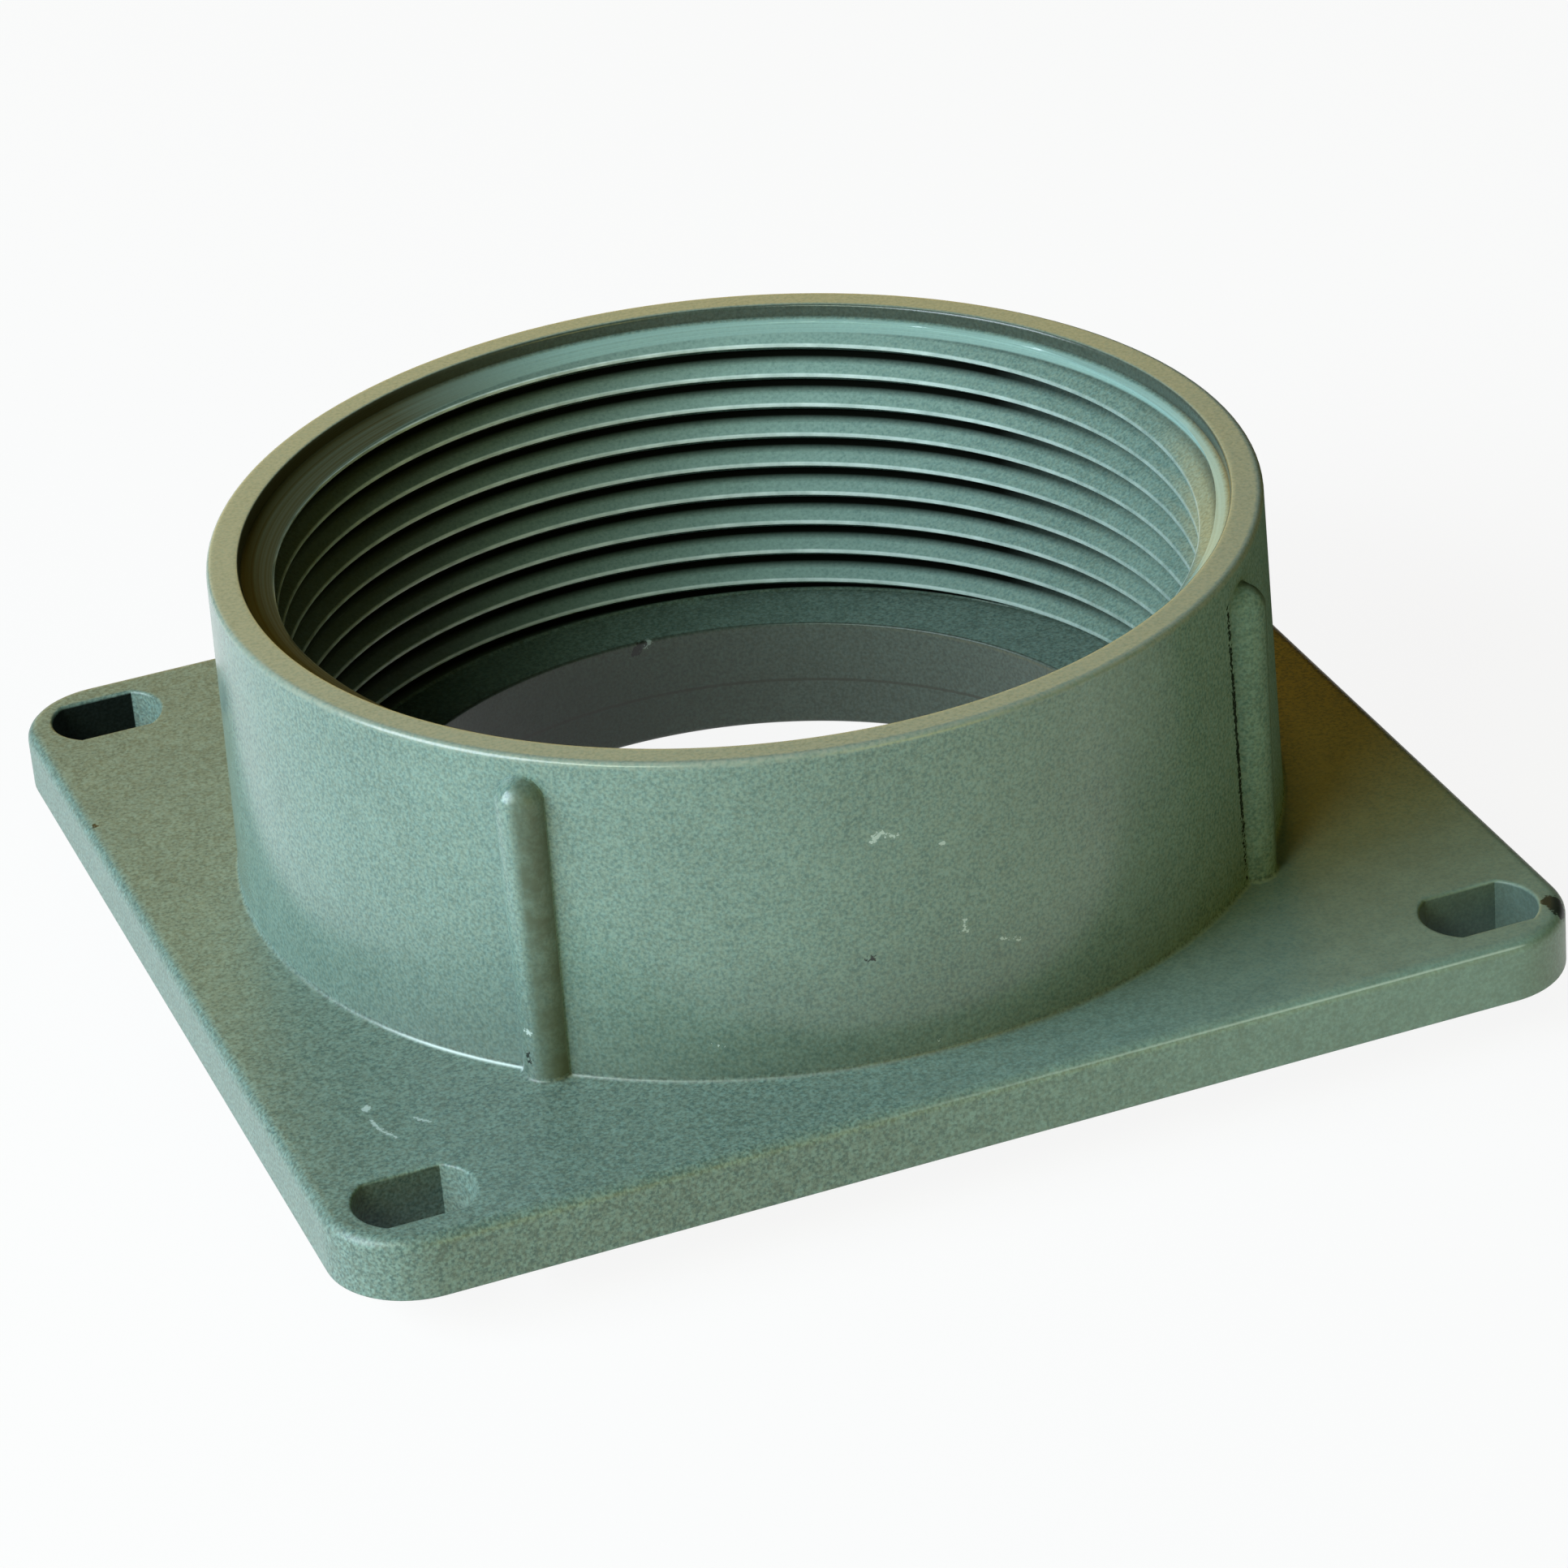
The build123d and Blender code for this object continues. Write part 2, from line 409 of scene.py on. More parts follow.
def collar_skin(sizes):
    """Outside of the collar with its four beads, from a ring on the plate up to a ring on the rim."""
    columns = 4 * COLLAR_COLUMNS_PER_BEAD
    rows = 1 + FOOT_ROWS + WALL_ROWS + DOME_ROWS + RIM_ROWS + 1
    top_radius = sizes.crest_radius + sizes.thread_depth + sizes.collar_wall
    inputs = {
        "Top radius": top_radius,
        "Draft": sizes.collar_draft,
        "Foot height": sizes.plate_thickness,
        "Rim height": node_high.z,
        "Foot fillet": sizes.collar_foot_round,
        "Rim edge": sizes.rim_outer_edge,
        "Bead radius": sizes.bead_radius,
        "Bead circle": top_radius + sizes.bead_stand_off,
        "Bead shoulder": node_high.z - sizes.bead_below_rim - sizes.bead_radius,
        "Blend": sizes.bead_blend,
        "Bead angle": sizes.bead_angle,
        "Plate ring": top_radius + sizes.collar_draft + PLATE_RING,
        "Support": sizes.support,
    }
    skin = Skin("Beaded Collar", inputs, columns, rows)
    size = skin.size
    bead = size("Bead radius")
    circle = size("Bead circle")

    # columns crowd together over each bead and its blends
    quarter = skin.column / COLLAR_COLUMNS_PER_BEAD
    number = quarter.math("FLOOR").least(3.0)
    share = quarter - number - 0.5
    reach = (share / BEAD_SHARE).most(-1.0).least(1.0)
    across = bead * (reach * (math.pi / 2)).sin()
    beyond = (share.abs() - BEAD_SHARE).part(0.0, BLEND_SHARE - BEAD_SHARE) * BLEND_RUN
    across = across + beyond * share.sign()
    rest = (share.abs() - BLEND_SHARE).part(0.0, 0.5 - BLEND_SHARE) * share.sign()
    bead_half = (bead + BLEND_RUN) / circle
    turn = across / circle + rest * (bead_half * -1.0 + math.pi / 4)
    angle = number * (math.pi / 2) + size("Bead angle") + turn

    # rows: plate ring, foot fillet, wall, dome, rim edge, rim ring
    row = skin.row
    foot_turn = row.part(1, FOOT_ROWS) * (math.pi / 2)
    wall = row.part(1 + FOOT_ROWS, WALL_ROWS)
    dome = row.part(1 + FOOT_ROWS + WALL_ROWS, DOME_ROWS)
    rim_turn = row.part(1 + FOOT_ROWS + WALL_ROWS + DOME_ROWS, RIM_ROWS) * (math.pi / 2)
    last = row.part(rows - 1, 1)
    fillet = size("Foot fillet")
    foot_top = size("Foot height") + fillet
    edge_foot = size("Rim height") - size("Rim edge")
    height = foot_top - fillet * foot_turn.cos()
    height = height + (size("Bead shoulder") - foot_top) * wall
    height = height + (edge_foot - size("Bead shoulder")) * dome
    height = height + size("Rim edge") * rim_turn.sin()
    flare = fillet - fillet * foot_turn.sin()

    # the collar's own radius, and the bead's outline at this height
    rise = (height - size("Foot height")) / (size("Rim height") - size("Foot height"))
    wall_radius = size("Top radius") + size("Draft") * (rise * -1.0 + 1.0) + flare
    above = (height - size("Bead shoulder")).most(0.0)
    wide = bead + flare
    inside = wide * wide - above * above - circle * turn.sin() * (circle * turn.sin())
    swell = inside.abs().root() * inside.sign()
    bead_outline = circle * turn.cos() + swell
    radius = wall_radius.soft_most(bead_outline, size("Blend"))
    radius = radius - (size("Rim edge") - size("Rim edge") * rim_turn.cos())
    radius = radius - size("Support") * last
    on_plate = row.least(1.0) * -1.0 + 1.0
    radius = radius + (size("Plate ring") - radius) * on_plate
    skin.bend(angle, radius, height)
    return skin


def ring(bm, points):
    return [bm.verts.new(point) for point in points]


def bridge(bm, first, second):
    """Quads between two closed rings with as many points each."""
    count = len(first)
    for place in range(count):
        after = (place + 1) % count
        bm.faces.new((first[place], first[after], second[after], second[place]))


def loft(bm, rings):
    made = [ring(bm, points) for points in rings]
    for first, second in zip(made, made[1:]):
        bridge(bm, first, second)
    return made


def circle_points(radius, height, count):
    turns = [2 * math.pi * place / count for place in range(count)]
    return [Vector((radius * math.cos(t), radius * math.sin(t), height)) for t in turns]


def rounded_plate_points(half_x, half_y, corner, inset, height, support):
    """Outline of the plate moved in by inset, with a short straight beside each corner."""
    radius = corner - inset
    points = []
    for quarter in range(4):
        side_x = (1, -1, -1, 1)[quarter]
        side_y = (1, 1, -1, -1)[quarter]
        centre = Vector((side_x * (half_x - corner), side_y * (half_y - corner), height))
        start = quarter * math.pi / 2
        arc = []
        for step in range(CORNER_STEPS + 1):
            turn = start + step * math.pi / 2 / CORNER_STEPS
            arc.append(centre + Vector((math.cos(turn), math.sin(turn), 0)) * radius)
        before = Vector((math.sin(start), -math.cos(start), 0)) * support
        after = Vector((-math.sin(start + math.pi / 2), math.cos(start + math.pi / 2), 0)) * support
        points += [arc[0] + before] + arc + [arc[-1] + after]
    return points


def slot_points(centre_x, centre_y, sizes, outset, height):
    """Outline of a slot along X moved out by outset: bowed ends that meet straight sides at a corner."""
    run = sizes.slot_length / 2 - sizes.slot_end_radius
    radius = sizes.slot_end_radius + outset
    half_turn = math.asin((sizes.slot_width / 2 + outset) / radius)
    points = []
    for side in (1, -1):
        centre = Vector((centre_x + side * run, centre_y, height))
        for step in range(SLOT_STEPS + 1):
            turn = half_turn * (2 * step / SLOT_STEPS - 1)
            points.append(centre + Vector((math.cos(turn), math.sin(turn), 0)) * side * radius)
        middle = Vector((centre_x, centre_y + side * (sizes.slot_width / 2 + outset), height))
        points.append(middle)
    return points


def edge_rows(top, edge, lower_edge, bottom, support):
    """Pairs of inset and height down a wall: flat ring, rounded edge, wall, rounded edge, flat ring."""
    rows = [(edge + support, top)]
    for step in range(EDGE_STEPS + 1):
        turn = step * math.pi / 2 / EDGE_STEPS
        rows.append((edge * (1 - math.sin(turn)), top - edge * (1 - math.cos(turn))))
    rows.append((0.0, top - edge - support))
    rows.append((0.0, bottom + lower_edge + support))
    for step in range(EDGE_STEPS + 1):
        turn = step * math.pi / 2 / EDGE_STEPS
        rows.append((lower_edge * (1 - math.cos(turn)), bottom + lower_edge * (1 - math.sin(turn))))
    rows.append((lower_edge + support, bottom))
    return rows


def add_plate(bm, sizes):
    """Outer edge of the plate and the walls of its four slots, without its flat faces."""
    half_x, half_y = node_high.x, node_high.y
    rows = edge_rows(sizes.plate_thickness, sizes.plate_edge, sizes.plate_lower_edge, 0.0, sizes.support)
    loft(bm, [
        rounded_plate_points(half_x, half_y, sizes.plate_corner, inset, height, sizes.support)
        for inset, height in rows
    ])
    rows = edge_rows(sizes.plate_thickness, sizes.slot_edge, sizes.plate_lower_edge, 0.0, sizes.support)
    for side_x in (-1, 1):
        for side_y in (-1, 1):
            loft(bm, [
                slot_points(side_x * (half_x - sizes.slot_inset_x), side_y * (half_y - sizes.slot_inset_y),
                            sizes, outset, height)
                for outset, height in rows
            ])


def arc_rows(centre_radius, centre_height, radius, start, end):
    """Points on a rounded edge in the turned section, from start to end in degrees."""
    points = []
    for step in range(EDGE_STEPS + 1):
        turn = math.radians(start + (end - start) * step / EDGE_STEPS)
        points.append((centre_radius + radius * math.cos(turn), centre_height + radius * math.sin(turn)))
    return points


def add_throat_and_spigot(bm, sizes):
    """Shoulder, throat, spigot and the ring that joins it to the plate, turned on the axis."""
    throat = sizes.crest_radius - sizes.shoulder_width
    spigot = throat + sizes.spigot_wall
    top = sizes.shoulder_height
    bottom = node_low.z
    edge = sizes.shoulder_edge
    end = sizes.spigot_edge
    ring_out = sizes.support
    section = [(sizes.crest_radius - 2 * ring_out, top), (throat + edge + ring_out, top)]
    section += arc_rows(throat + edge, top - edge, edge, 90, 180)
    section += [(throat, top - edge - ring_out), (throat, ring_out), (throat, -ring_out)]
    section += [(throat, bottom + end + ring_out)]
    section += arc_rows(throat + end, bottom + end, end, 180, 270)
    section += [(throat + end + ring_out, bottom), (spigot - end - ring_out, bottom)]
    section += arc_rows(spigot - end, bottom + end, end, 270, 360)
    section += [(spigot, bottom + end + ring_out), (spigot, -SPIGOT_ROOT - ring_out)]
    section += arc_rows(spigot + SPIGOT_ROOT, -SPIGOT_ROOT, SPIGOT_ROOT, 180, 90)
    section += [(spigot + SPIGOT_ROOT + ring_out, 0.0)]
    loft(bm, [circle_points(radius, height, BORE_COLUMNS) for radius, height in section])


def add_mouth(bm, sizes):
    """Plain step inside the rim and the rim's inner edge, turned on the axis."""
    mouth = sizes.crest_radius + sizes.thread_depth + sizes.mouth_clearance
    edge = sizes.rim_inner_edge
    rim = node_high.z
    floor = rim - sizes.mouth_depth
    section = [(mouth, floor), (mouth, floor + MOUTH_SUPPORT), (mouth, rim - edge - MOUTH_SUPPORT)]
    section += arc_rows(mouth + edge, rim - edge, edge, 180, 90)
    section += [(mouth + edge + sizes.support, rim)]
    loft(bm, [circle_points(radius, height, BORE_COLUMNS) for radius, height in section])


def fill_level(bm, height):
    """Closes the flat face between the open rings that lie at one height."""
    edges = [
        edge for edge in bm.edges
        if edge.is_boundary and all(abs(vert.co.z - height) < WELD for vert in edge.verts)
    ]
    bmesh.ops.triangle_fill(bm, use_beauty=True, use_dissolve=False, edges=edges, normal=(0, 0, 1))


def weld_casting(bm, sizes):
    """Merges the skins, closes the four flat faces and turns every face outwards."""
    bmesh.ops.remove_doubles(bm, verts=bm.verts, dist=WELD)
    for height in (0.0, sizes.plate_thickness, sizes.shoulder_height, node_high.z):
        fill_level(bm, height)
    gaps = [edge for edge in bm.edges if not edge.is_manifold]
    if gaps:
        spots = [tuple(round(c / MM, 2) for c in edge.verts[0].co) for edge in gaps[:5]]
        raise RuntimeError(f"the casting has {len(gaps)} open edges, first at {spots} mm")
    bmesh.ops.recalc_face_normals(bm, faces=bm.faces)
    if bm.calc_volume(signed=True) < 0:
        bmesh.ops.reverse_faces(bm, faces=bm.faces)
    for face in bm.faces:
        face.smooth = True
    for edge in bm.edges:
        edge.smooth = edge.calc_face_angle(0.0) < SHARP_ANGLE


# finish

WHITE = (1.0, 1.0, 1.0, 1.0)


def noise(tree, place, scale, detail=3.0, roughness=0.55):
    inputs = {"Vector": place, "Scale": scale, "Detail": detail, "Roughness": roughness}
    return Term(tree, new_node(tree, "ShaderNodeTexNoise", inputs).outputs["Fac"])


def mix_colour(tree, share, first, second):
    node = new_node(tree, "ShaderNodeMix", {"Factor": share}, data_type="RGBA")
    sockets = [socket for socket in node.inputs if socket.type == "RGBA"]
    link_or_set(tree, first, sockets[0])
    link_or_set(tree, second, sockets[1])
    return [socket for socket in node.outputs if socket.type == "RGBA"][0]


def rgba(values):
    return (*values, 1.0)


def fresh_tree(owner):
    """Empty node tree of a material or a world."""
    owner.use_nodes = True
    owner.node_tree.nodes.clear()
    return owner.node_tree


def open_group(name):
    """Shader group that starts from a position."""
    tree = bpy.data.node_groups.new(name, "ShaderNodeTree")
    tree.interface.new_socket(name="Position", in_out="INPUT", socket_type="NodeSocketVector")
    return tree, new_node(tree, "NodeGroupInput").outputs["Position"]


def close_group(tree, values):
    """Gives the group one output for each named value."""
    for title in values:
        tree.interface.new_socket(name=title, in_out="OUTPUT", socket_type="NodeSocketFloat")
    new_node(tree, "NodeGroupOutput", values)
    return tree


def paint_grain_group():
    """Blotches, mottle, specks and the orange-peel height of sprayed paint, and a lathe's fine rings."""
    tree, place = open_group("Paint Grain")
    grain = noise(tree, place, 3300.0, detail=1.0, roughness=0.6)
    peel = noise(tree, place, 900.0, detail=2.0)
    ring_noise = {"W": axes(tree, place)[2], "Scale": 9000.0, "Detail": 1.0}
    rings = new_node(tree, "ShaderNodeTexNoise", ring_noise, noise_dimensions="1D")
    return close_group(tree, {
        "Blotch": noise(tree, place, 55.0, detail=4.0),
        "Mottle": noise(tree, place, 420.0, detail=4.0, roughness=0.6),
        "Grain": grain,
        "Tint": noise(tree, place, 2600.0, detail=1.0, roughness=0.6),
        "Height": peel * 0.5 + grain * 0.5,
        "Turning": Term(tree, rings.outputs["Fac"]),
    })


def zones_group(sizes):
    """Masks for the casting's turned and worn parts, its tan film and its joint line, and for where shade,
    light and highlights are painted on.
    """
    tree, place = open_group("Casting Zones")
    across, along, height = axes(tree, place)
    reach = (across * across + along * along).root()
    turn = along.math("ARCTAN2", across)

    def near(angle, half, run):
        """1 up to half on each side of an angle round the axis, then down to 0 over run, in degrees."""
        return (turn - math.radians(angle)).abs().fade(math.radians(half), math.radians(run))

    def past(angle, run):
        """0 from the right round to an angle on each side, then up to 1 over run, in degrees."""
        return turn.abs().part(math.radians(angle), math.radians(run))

    crest = sizes.crest_radius
    root = crest + sizes.thread_depth
    mouth = root + sizes.mouth_clearance
    rim = node_high.z
    mouth_floor = rim - sizes.mouth_depth
    cone_bottom = mouth_floor - sizes.lead_in_depth
    thin = 0.1 * MM

    # places inside the bore
    over_shoulder = height.part(sizes.shoulder_height + thin, thin)
    in_thread = over_shoulder * height.fade(cone_bottom, thin) * reach.fade(root + 3 * thin, thin)
    over_cone = height.part(cone_bottom, thin)
    inside_mouth = reach.fade(mouth + thin, thin)

    # places on the collar's outside and on the plate
    foot_radius = root + sizes.collar_wall + sizes.collar_draft
    over_plate = height - sizes.plate_thickness
    wall = over_plate / (rim - sizes.plate_thickness) * -sizes.collar_draft
    beyond_wall = reach - (wall + foot_radius)
    beyond_collar = beyond_wall.part(0.0, thin)
    on_bead = beyond_wall.part(1.5 * thin, thin) * over_plate.part(4 * thin, thin)
    bead_turn = (turn - sizes.bead_angle).math("WRAP", math.pi / 4, -math.pi / 4)
    bead_side = reach * bead_turn.sin()
    above_plate = over_plate.part(0.0, thin)
    foot_ring = above_plate * over_plate.fade(1.5 * thin, thin)
    foot_ring = foot_ring * beyond_wall.part(-thin, thin) * beyond_wall.fade(4 * thin, 2 * thin)
    on_plate_top = over_plate.abs().fade(thin, thin)

    # far walls of the slots, which face the front, and the right slots' other walls, where black shade is
    # painted
    slot_x = node_high.x - sizes.slot_inset_x
    slot_y = node_high.y - sizes.slot_inset_y
    from_slot = (across.abs() - slot_x) * across.sign()
    in_slot = (across.abs() - slot_x).abs().fade(sizes.slot_length / 2 + thin, thin)
    in_slot = in_slot * (along.abs() - slot_y).abs().fade(sizes.slot_width / 2 + 3 * thin, thin)
    in_slot = in_slot * height.fade(sizes.plate_thickness - 3 * thin, 2 * thin)
    far_wall = from_slot.fade(3.4 * MM, thin) * (along.part(0.0, thin) * 0.45 + 0.5)

    return close_group(tree, {
        "Plate": height.fade(sizes.plate_thickness + 4 * thin, 2 * thin),
        # tan film on the plate's top, partly the plate's own and partly painted light: paler towards the
        # back, strongly towards the right
        "Dust": on_plate_top * (along.part(-45 * MM, 35 * MM) * 0.5).most(
            across.part(15 * MM, 20 * MM) * 2.6),
        # painted shadow of the collar on the plate's back right
        "Brown Film": across.part(20 * MM, 22 * MM) * along.part(-40 * MM, 40 * MM)
                      * over_plate.abs().fade(3 * thin, thin) * beyond_collar,
        # painted light: the plate's front right made paler
        "Pale Film": across.part(-20 * MM, 60 * MM) * along.fade(-35 * MM, 30 * MM)
                     * over_plate.fade(thin, thin) * beyond_collar,
        "Plate Glint": (over_plate + 0.35 * MM).abs().fade(1.5 * thin, thin)
                       * across.part(-20 * MM, 50 * MM) * along.fade(thin - node_high.y, 2 * thin),
        # painted shade: the slots' walls blackened, more in the back slots
        "Slot Wall": in_slot * far_wall.most(across.part(0.0, thin) * 0.45),
        "Rim": height.part(rim - 6 * thin, 4 * thin) * reach.part(mouth + thin, thin),
        # painted shade on the plain step under the rim
        "Mouth Step": height.part(mouth_floor - thin, thin) * inside_mouth,
        "Lead-in": over_cone * height.fade(mouth_floor - 2 * thin, thin) * inside_mouth,
        # painted shade on the lead-in cone's left side
        "Lead-in Soil": over_cone * inside_mouth * past(90, 28),
        # painted light: the thread on the bore's back wall, which faces the light, made paler
        "Thread": in_thread * near(85, 20, 45),
        # painted shade: the thread darkened towards the bore's left, the side turned from the light, most at
        # the roots
        "Thread Soil": in_thread * past(68, 48) * (reach.part(crest, root - crest) * 0.4 + 0.6),
        # painted shade: the deep part of each groove blackened, less on the right
        "Thread Root": in_thread * reach.part(crest + 1.1 * MM, root - crest - 1.4 * MM)
                       * (past(5, 30) * 0.6 + 0.4),
        # worn crests and painted highlight: strongest at the back, weaker on the right and on the left
        "Thread Crest": in_thread * reach.fade(crest + 0.5 * thin, thin)
                        * (past(15, 45) * 0.7 + 0.3) * (past(115, 30) * -0.5 + 1.0),
        # painted shade: everything inside the bore below the shoulder's level slightly darkened
        "Shoulder": height.fade(sizes.shoulder_height + thin, thin) * reach.fade(root, thin),
        # painted shade: the throat darkened deep inside the casting
        "Throat": reach.fade(crest - sizes.shoulder_width + 2 * thin, thin),
        "Parting Line": height.abs().fade(thin, thin) * reach.fade(root - 5 * MM, MM),
        # painted shade on each bead's side away from the light
        "Bead Stain": on_bead * bead_side.part(-3 * thin, 9 * thin),
        # thin pale flash line at the collar's foot, with painted highlight, strongest on the front left
        "Foot Line": foot_ring * (near(-125, 20, 30) * 0.08 + near(-142, 5, 9) * 0.5 + 0.02),
        # painted shade low on the collar's front, above the plate, where the plate's darker reflection lies
        "Low Stain": above_plate * over_plate.fade(0.0, 13 * MM) * beyond_wall.part(-2 * thin, thin)
                     * near(-110, 35, 45),
        "Matt Film": above_plate * beyond_wall.part(-3 * thin, thin) * near(-30, 27, 15),
    })


# softness of a mark's edge, and how far the grain makes the edge wander
SCUFF_SOFT_START = -0.04 * MM
SCUFF_SOFT_RUN = 0.12 * MM
SCUFF_RAGGED = 1.0 * MM


def scuff_group():
    """Mask of one short mark between two points, with a ragged edge."""
    tree = bpy.data.node_groups.new("Scuff", "ShaderNodeTree")
    face = tree.interface
    for title in ("Position", "Start", "End"):
        face.new_socket(name=title, in_out="INPUT", socket_type="NodeSocketVector")
    for title in ("Width", "Ragged"):
        face.new_socket(name=title, in_out="INPUT", socket_type="NodeSocketFloat")
    face.new_socket(name="Mask", in_out="OUTPUT", socket_type="NodeSocketFloat")
    entry = new_node(tree, "NodeGroupInput").outputs

    def vector(operation, *values):
        return new_node(tree, "ShaderNodeVectorMath", dict(enumerate(values)), operation=operation).outputs

    run = vector("SUBTRACT", entry["End"], entry["Start"])[0]
    gone = vector("SUBTRACT", entry["Position"], entry["Start"])[0]
    along = Term(tree, vector("DOT_PRODUCT", gone, run)["Value"])
    whole = Term(tree, vector("DOT_PRODUCT", run, run)["Value"])
    nearest = new_node(tree, "ShaderNodeVectorMath", operation="SCALE")
    link_or_set(tree, run, nearest.inputs[0])
    link_or_set(tree, (along / whole).most(0.0).least(1.0), nearest.inputs["Scale"])
    gap = Term(tree, vector("DISTANCE", gone, nearest.outputs[0])["Value"])
    edge = gap + Term(tree, entry["Ragged"]) - Term(tree, entry["Width"]) * 0.5
    new_node(tree, "NodeGroupOutput", {"Mask": edge.fade(SCUFF_SOFT_START, SCUFF_SOFT_RUN)})
    return tree


# marks on the collar, the beads and the throat: start angle and height, end angle and height, and width,
# in degrees and millimetres
PALE_COLLAR_MARKS = (
    (-97.4, 27.5, -96.6, 28.1, 0.60),
    (-96.6, 28.1, -94.9, 27.5, 0.45),
    (-90.2, 25.9, -90.0, 25.8, 0.40),
    (-88.4, 18.2, -88.4, 17.1, 0.30),
    (-88.8, 17.0, -88.0, 17.0, 0.25),
    (-84.5, 15.2, -81.9, 14.4, 0.30),
    (-115.5, 9.5, -114.2, 9.3, 0.35),
    (-92.3, 7.0, -92.1, 6.8, 0.35),
)
DARK_COLLAR_SPOTS_AND_SHADE = (
    (-98.9, 16.4, -98.3, 16.3, 0.40),
    # painted shade: long dark line in the crease beside the right-hand bead
    (-46.6, 33.8, -46.4, 6.6, 0.65),
)
PALE_BEAD_MARKS = (
    (-134.9, 33.4, -134.7, 33.1, 0.40),
    (-135.0, 11.0, -133.6, 10.8, 0.40),
    (-44.4, 34.4, -43.7, 34.0, 0.45),
    (-44.7, 26.3, -44.6, 26.1, 0.30),
)
DARK_BEAD_MARKS = ((-134.3, 8.5, -134.1, 8.0, 0.60),)
PALE_THROAT_MARKS = ((86.4, 6.2, 87.3, 5.7, 0.70),)
DARK_THROAT_MARKS = ((87.6, 6.0, 88.8, 5.2, 0.90),)
# marks on the plate: x and y of each end and the width, in millimetres
PALE_PLATE_MARKS = (
    (-49.0, -33.3, -49.0, -33.6, 0.70),
    (-49.2, -35.6, -48.9, -37.5, 0.30),
    (-48.9, -37.5, -48.1, -39.1, 0.35),
    (-45.8, -36.7, -44.7, -38.1, 0.25),
)
DARK_PLATE_MARKS = (
    (-56.6, 27.4, -56.5, 27.2, 0.50),
    (55.8, -50.4, 56.0, -52.4, 1.90),
)
PALE_MARKS = (PALE_COLLAR_MARKS, PALE_BEAD_MARKS, PALE_THROAT_MARKS, PALE_PLATE_MARKS)
DARK_MARKS = (DARK_COLLAR_SPOTS_AND_SHADE, DARK_BEAD_MARKS, DARK_THROAT_MARKS, DARK_PLATE_MARKS)


def on_cylinder(radius, angle, height):
    turn = math.radians(angle)
    return Vector((radius * math.cos(turn), radius * math.sin(turn), height * MM))


def mark_ends(sizes, collar_marks, bead_marks, throat_marks, plate_marks):
    """Start, end and width of every mark, in metres."""
    wall = sizes.crest_radius + sizes.thread_depth + sizes.collar_wall + sizes.collar_draft / 2
    bead = wall + sizes.bead_radius * 0.9
    throat = sizes.crest_radius - sizes.shoulder_width
    for radius, marks in ((wall, collar_marks), (bead, bead_marks), (throat, throat_marks)):
        for angle, height, end_angle, end_height, width in marks:
            start = on_cylinder(radius, angle, height)
            yield start, on_cylinder(radius, end_angle, end_height), width * MM
    for x, y, end_x, end_y, width in plate_marks:
        top = sizes.plate_thickness
        yield Vector((x * MM, y * MM, top)), Vector((end_x * MM, end_y * MM, top)), width * MM


def scuffs(tree, scuff, place, ragged, marks):
    """Highest mask of all the marks."""
    total = None
    for start, end, width in marks:
        ends = {"Position": place, "Ragged": ragged, "Start": start, "End": end, "Width": width}
        mask = Term(tree, new_node(tree, "ShaderNodeGroup", ends, node_tree=scuff).outputs["Mask"])
        total = mask if total is None else total.most(mask)
    return total


# layers on the paint, in order: zone, colour, even share, pattern and the pattern's share
FINISH_LAYERS = (
    ("Rim", "rim", 0.5, "Tint", 0.5),
    ("Lead-in", "turned", 0.6, "Turning", 0.3),
    # painted shade on the lead-in cone's left side
    ("Lead-in Soil", "soil", 0.8, "Turning", 0.2),
    # painted shade on the step under the rim
    ("Mouth Step", "grime_and_shade", 0.75, None, 0.0),
    # painted shade at the bottom of the bore
    ("Shoulder", "grime_and_shade", 0.1, None, 0.0),
    # painted shade in the slots
    ("Slot Wall", "black_shade_and_marks", 1.0, None, 0.0),
    # painted shade in the throat
    ("Throat", "grime_and_shade", 0.65, None, 0.0),
    # painted shade low on the collar's front
    ("Low Stain", "grime_and_shade", 0.4, None, 0.0),
    # painted light on the thread at the bore's back
    ("Thread", "turned", 0.2, "Soft Tint", 0.6),
    # painted shade on the thread towards the bore's left
    ("Thread Soil", "grime_and_shade", 0.9, None, 0.0),
    # painted shade in the thread's roots
    ("Thread Root", "black_shade_and_marks", 1.0, None, 0.0),
    # worn crests with painted highlight
    ("Thread Crest", "bare", 0.5, "Mottle", 0.4),
    ("Parting Line", "grime_and_shade", 0.7, None, 0.0),
    # painted shade on the beads
    ("Bead Stain", "stain", 0.4, "Mottle", 0.5),
    # flash line at the collar's foot with painted highlight
    ("Foot Line", "bare", 1.0, None, 0.0),
)
BUMP_STRENGTH = 0.35
BUMP_HEIGHT = 0.05 * MM


